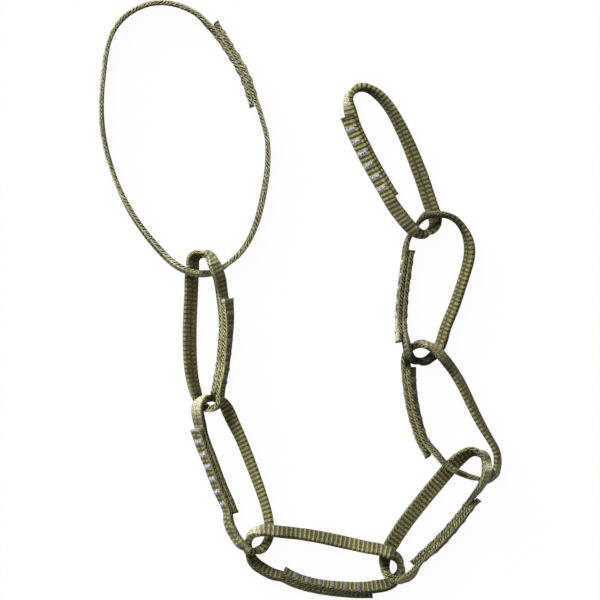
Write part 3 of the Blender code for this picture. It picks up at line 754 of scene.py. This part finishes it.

# for each loop: its inside outline, as the harness loop's; shares for its lap, free ends and spread
# ends (inner, outer); inner and outer ribs as pitch, stagger and columns; tones of the inner and
# outer face, partly painted shade, the edges, and the grooves' painted shade, the crown where a rib
# turns light as painted highlight, and the cut ends; and the stretches of the strip with plain
# edges, with bends that wear flattens and painted paler as highlight, and with painted shade
CLIP_LOOPS = [
    {"outline": [
        (213.5, 394.5, 20, -33, -1), (217.1, 371, 20), (219.5, 349, 22), (220.7, 329.3, 26),
        (219.8, 312, 36), (217.5, 298, 42), (214.7, 287, 45), (212, 277.5, 48),
        (209, 269.5, 48, 0, 1), (206.4, 262.4, 40), (203.8, 258.4, 10), (201.2, 259.4, -34),
        (200, 265.5, -48), (199.6, 273, -54), (198.9, 285.9, -56), (197.5, 320, -56),
        (197.3, 350, -55), (198.8, 374, -47), (201.5, 389, -38), (204, 397, -32),
        (206.8, 402, -18), (210, 404, 0), (212.6, 401.5, 12, -33, -1)],
     "lap": 0.698, "free": (0.05, 0.07), "spread": (0.08, 0.25),
     "ribs": ((0.00363, 0.14, 2), (0.00363, 0.30, 1)), "rib_depth": 0.00022,
     "tones": (0.78, 1.00), "edge_tone": 0.92, "groove_shade_tone": 0.32, "crest": 0.10,
     "ends": (DARK_END, WHITE_END), "plain": (0.36, 0.68), "worn_and_highlit": (0.32, 0.42),
     "painted_shade_stretch": NOWHERE, "thread": faded_thread},
    {"outline": [
        (236, 514, 28), (228.4, 491.8, 31), (218.5, 466.5, 32), (212.4, 450, 34),
        (207.5, 436, 38), (205.3, 422, 46), (204.8, 411, 48), (205.5, 405.3, 34, -28, 1),
        (208, 402.6, 10), (212, 402.2, -8), (216.3, 404.8, -30), (220.3, 411.3, -46),
        (225.2, 422, -46), (233.1, 437, -37), (241.5, 456.8, -34), (249.3, 476.8, -31),
        (256.7, 496.5, -27), (261.6, 512.8, -26), (263.8, 526, -26), (263.8, 535, -25),
        (261.5, 541.5, -22), (257, 545.9, -8), (252.3, 546, 14), (249.8, 543.8, 21, -14, -1),
        (247, 540.8, 29), (242.5, 535.3, 34), (239, 529.4, 35), (236.6, 521, 33)],
     "lap": 0.673, "free": (0.07, 0.07), "spread": (0.20, 0.25),
     "ribs": ((0.00353, 0.30, 1), (0.00353, 0.14, 2)), "rib_depth": 0.00038,
     "tones": (1.08, 1.06), "edge_tone": 0.50, "groove_shade_tone": 0.28, "crest": 0.40,
     "ends": (DARK_END, PINK_END), "plain": (0.28, 0.72), "worn_and_highlit": (-1, 0.5),
     "painted_shade_stretch": (0.73, 0.78), "thread": bright_thread},
    {"outline": [
        (283.6, 568.6, -28), (291.2, 572.2, -26), (311.2, 579.5, -24), (331, 582.7, -26),
        (350, 583.6, -33), (366, 583.1, -39), (375, 581.4, -42), (384, 578.6, -44),
        (391, 574.4, -38), (395.6, 570.6, -18), (396.6, 566, 0), (394, 562, 20),
        (388.5, 559.3, 36), (380, 556.3, 42, -66, -1), (368, 553.9, 42), (343.5, 549.3, 44),
        (318.8, 543.8, 41), (299, 540.5, 40), (279.2, 537.9, 42), (267, 536.5, 42, -44, 1),
        (259, 536.8, 32), (253.8, 539.3, 8), (252.3, 544, -10), (253.8, 549.5, -20),
        (257.5, 556, -36), (265.5, 562.8, -38), (275.5, 566.8, -34)],
     "lap": 0.673, "free": (0.07, 0.07), "spread": (0.15, 0.20),
     "ribs": ((0.00364, 0.10, 1), (0.00364, 0.10, 1)), "rib_depth": 0.00036,
     "tones": (0.84, 0.90), "edge_tone": 0.42, "groove_shade_tone": 0.19, "crest": 0.72,
     "ends": (BROWN_END, DARK_END), "plain": (0.3, 0.7), "worn_and_highlit": (0.62, 2),
     "painted_shade_stretch": NOWHERE, "thread": grimy_thread},
    {"outline": [
        (411.6, 563.2, 12), (430.6, 544.8, 11), (445.4, 529.5, 11), (460.2, 512.2, 8),
        (471, 496.8, 9), (475.2, 488.3, 18), (477.5, 480.5, 26, -5, 1), (479.6, 473.5, 33, -5, 1),
        (480.3, 463, 34), (479.4, 458, 16), (475.6, 457, -20), (469.5, 460, -46),
        (461.8, 467, -62), (454, 475.5, -70), (443.8, 487.5, -74), (425.8, 509.3, -74),
        (410.7, 529.1, -74), (401.4, 543.2, -70), (395.8, 552.5, -62), (391.8, 560.3, -46),
        (390.5, 567, -28), (391.8, 572.2, -8), (395.7, 574.2, 12, -46, -1), (400.6, 572.8, 26),
        (405.4, 569.6, 26)],
     "lap": 0.673, "free": (0.07, 0.19), "spread": (0.15, 0.45),
     "ribs": ((0.00354, 0.20, 1), (0.00354, 0.20, 1)), "rib_depth": 0.00040,
     "tones": (0.94, 1.30), "edge_tone": 0.62, "groove_shade_tone": 0.26, "crest": 0.42,
     "ends": (DARK_END, PINK_END), "plain": NOWHERE, "worn_and_highlit": EVERYWHERE,
     "painted_shade_stretch": NOWHERE, "thread": faded_thread},
    {"outline": [
        (413.9, 366, -28), (414.3, 375, -26), (414.9, 389.3, -20), (417.7, 408.7, -17),
        (422.4, 428.6, -12), (427, 440.5, -12), (433, 448, -12), (441, 456.3, -11),
        (450.5, 463.3, -10, -72, 1), (459.5, 468.6, -8), (468, 472.6, -6), (477, 475.8, 0),
        (485, 475.6, 10), (490.6, 471, 18), (492.8, 462, 20), (492, 452.5, 16), (488, 444.4, 15),
        (476.7, 426.7, 22), (466.2, 406.8, 26), (455.8, 386.1, 29), (444.4, 368.9, 32),
        (436.5, 359.6, 33), (430.5, 353.3, 30, -46, 1), (426, 350, 20), (420, 348.4, 8),
        (414.9, 350.3, -5), (412.4, 355, -18)],
     "lap": 0.673, "free": (0.07, 0.16), "spread": (0.05, 0.20),
     "ribs": ((0.00360, 0.20, 1), (0.00360, 0.25, 1)), "rib_depth": 0.00022,
     "tones": (0.74, 0.72), "edge_tone": 0.58, "groove_shade_tone": 0.55, "crest": 0.30,
     "ends": (DARK_END, DARK_END), "plain": (0.36, 0.66), "worn_and_highlit": (-1, 0.6),
     "painted_shade_stretch": NOWHERE, "thread": faded_thread},
    {"outline": [
        (411.4, 250, 7), (408.5, 275.6, 8), (406, 295.3, 8), (404.8, 315.4, 9), (405, 330, 12),
        (407.4, 340, 17), (410.4, 348, 22, -28, 1), (413.5, 353.4, 20), (417.5, 356.8, 6),
        (422.6, 356.8, -12), (427.6, 353.3, -26), (431.8, 347.7, -34), (434.9, 341.3, -36),
        (439, 328.2, -34), (447, 308.2, -33), (454.2, 288.2, -31), (460.4, 268.2, -32),
        (463.4, 250.2, -34), (461, 234.3, -20), (452.2, 221.9, -8), (442.5, 218.6, -10),
        (434, 218.9, -12, -66, 1), (426.5, 220.3, -12), (421.3, 224, -5), (417, 229.5, 1),
        (412.8, 238, 3)],
     "lap": 0.673, "free": (0.07, 0.10), "spread": (0.30, 0.30),
     "ribs": ((0.00356, 0.15, 2), (0.00356, 0.25, 1)), "rib_depth": 0.00043,
     "tones": (0.82, 0.82), "edge_tone": 0.47, "groove_shade_tone": 0.20, "crest": 0.40,
     "ends": (DARK_END, DARK_END), "plain": (0.34, 0.66), "worn_and_highlit": (0.5, 2),
     "painted_shade_stretch": (0.21, 0.33), "thread": bright_thread},
    {"outline": [
        (397.3, 194.8, 52), (383.4, 170.6, 54), (374.5, 154.5, 54), (366.3, 138.1, 54),
        (358.9, 121.8, 52), (354.9, 108, 42), (353.8, 98.5, 20), (356.5, 93.8, 0),
        (362.4, 92.3, -15), (372.5, 97.6, -29), (384.9, 111.8, -34), (393.6, 128.4, -42),
        (401, 144.8, -48), (409.6, 167.4, -60), (415.9, 184.8, -66), (421.8, 203.2, -68),
        (425.6, 214, -66), (427.9, 221.5, -56), (427.6, 226.6, -26), (424.4, 229.2, 14),
        (420.5, 227.6, 38), (416.2, 223.4, 50, 16, -1), (411, 217, 57), (404.3, 207.5, 58)],
     "lap": 0.673, "free": (0.07, 0.07), "spread": (0.15, 0.25),
     "ribs": ((0.00357, 0.10, 2), (0.00357, 0.15, 1)), "rib_depth": 0.00050,
     "tones": (0.68, 1.22), "edge_tone": 0.42, "groove_shade_tone": 0.20, "crest": 0.36,
     "ends": (DARK_END, DARK_END), "plain": EVERYWHERE, "worn_and_highlit": (-1, 0.5),
     "painted_shade_stretch": (0.69, 0.8), "thread": bright_thread}]

for number, loop in enumerate(CLIP_LOOPS, start=1):
    body = f"clip_loop_{number}"
    route = loop_route(loop["outline"], loop["lap"], loop["free"], loop["spread"])
    strap = add_object(f"{body}_strap", strap_mesh(
        f"{body}_strap", route, CLIP_POINT_SPACING, loop["ribs"], loop["rib_depth"], loop["plain"],
        loop["worn_and_highlit"], loop["painted_shade_stretch"]), webbing_material(
            f"{body}_webbing_look", loop["tones"], shaded(MID_OLIVE, loop["edge_tone"]),
            loop["groove_shade_tone"], loop["crest"], loop["ends"]))
    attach(strap, body)
    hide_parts(f"{body}_webbing")
    stitching = stitch_object(f"{body}_stitching", tack_frames(route), seed=1 + number,
                              material=loop["thread"])
    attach(stitching, body)
    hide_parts(*[f"{body}_tack_{n}" for n in range(1, TACK_COUNT + 1)])

# Floor: a plain pale sheet under the chain. The camera sees it as white paper that keeps a faint
# shadow; the chain itself is lit from it as from a dull grey one, so its undersides stay dark.
FLOOR_REACH = 1.5
FLOOR_GREY = (0.22, 0.22, 0.21, 1.0)
FLOOR_PAPER = (0.95, 0.95, 0.95, 1.0)
FLOOR_WHITE = (1.0, 1.0, 1.0, 1.0)
WHITE_SHARE = 0.97
floor_mesh = bpy.data.meshes.new("floor")
floor_mesh.from_pydata([(-FLOOR_REACH, -FLOOR_REACH, 0), (FLOOR_REACH, -FLOOR_REACH, 0),
                        (FLOOR_REACH, FLOOR_REACH, 0), (-FLOOR_REACH, FLOOR_REACH, 0)],
                       [], [(0, 1, 2, 3)])
floor_look = bpy.data.materials.new("floor_look")
floor_look.use_nodes = True
tree = floor_look.node_tree
tree.nodes.clear()
lit = add_node(tree, "ShaderNodeBsdfDiffuse", [(0, FLOOR_GREY)])
paper = add_node(tree, "ShaderNodeBsdfDiffuse", [(0, FLOOR_PAPER)])
white = add_node(tree, "ShaderNodeEmission", [(0, FLOOR_WHITE), (1, 1.0)])
shown = add_node(tree, "ShaderNodeMixShader", [(0, WHITE_SHARE)])
tree.links.new(paper.outputs[0], shown.inputs[1])
tree.links.new(white.outputs[0], shown.inputs[2])
seen = add_node(tree, "ShaderNodeLightPath").outputs
mirrored = math_node(tree, "MAXIMUM", seen["Is Glossy Ray"], seen["Is Transmission Ray"])
straight = math_node(tree, "MAXIMUM", seen["Is Camera Ray"], mirrored)
either = add_node(tree, "ShaderNodeMixShader")
tree.links.new(straight, either.inputs[0])
tree.links.new(lit.outputs[0], either.inputs[1])
tree.links.new(shown.outputs[0], either.inputs[2])
result = add_node(tree, "ShaderNodeOutputMaterial")
tree.links.new(either.outputs[0], result.inputs["Surface"])
floor = add_object("floor", floor_mesh, floor_look)

# Light: one broad lamp high on the left behind the chain, as soft as a large window, and an even
# room around it. Seen straight, the room is white.
LAMP_DIRECTION = (-0.56, 0.68, 0.48)
LAMP_STRENGTH = 4.85
LAMP_BREADTH = math.radians(45)
ROOM_LEVEL = 0.20
scene = bpy.context.scene
lamp = bpy.data.lights.new("key", "SUN")
lamp.energy = LAMP_STRENGTH
lamp.angle = LAMP_BREADTH
lamp_object = bpy.data.objects.new("key", lamp)
lamp_object.rotation_euler = Vector(LAMP_DIRECTION).to_track_quat("Z", "Y").to_euler()
scene.collection.objects.link(lamp_object)

world = bpy.data.worlds.new("room")
scene.world = world
world.use_nodes = True
tree = world.node_tree
room = tree.nodes["Background"]
room.inputs["Color"].default_value = (1.0, 1.0, 1.0, 1.0)
seen = add_node(tree, "ShaderNodeLightPath").outputs
extra = math_node(tree, "MULTIPLY", seen["Is Camera Ray"], 1 - ROOM_LEVEL)
tree.links.new(math_node(tree, "ADD", extra, ROOM_LEVEL), room.inputs["Strength"])

# Camera: straight above the middle of the chain, far enough away that the straps show no
# perspective, framing 48 cm.
VIEW_WIDTH = 0.48
CAMERA_HEIGHT = 4.0
MIDDLE_HEIGHT = 0.006
SENSOR_WIDTH = 36.0
camera = bpy.data.cameras.new("camera")
camera.sensor_width = SENSOR_WIDTH
camera.lens = SENSOR_WIDTH * (CAMERA_HEIGHT - MIDDLE_HEIGHT) / VIEW_WIDTH
camera_object = bpy.data.objects.new("camera", camera)
camera_object.location = (GROUND_SHIFT[0], GROUND_SHIFT[1], CAMERA_HEIGHT)
scene.collection.objects.link(camera_object)
scene.camera = camera_object
scene.view_settings.view_transform = "Standard"
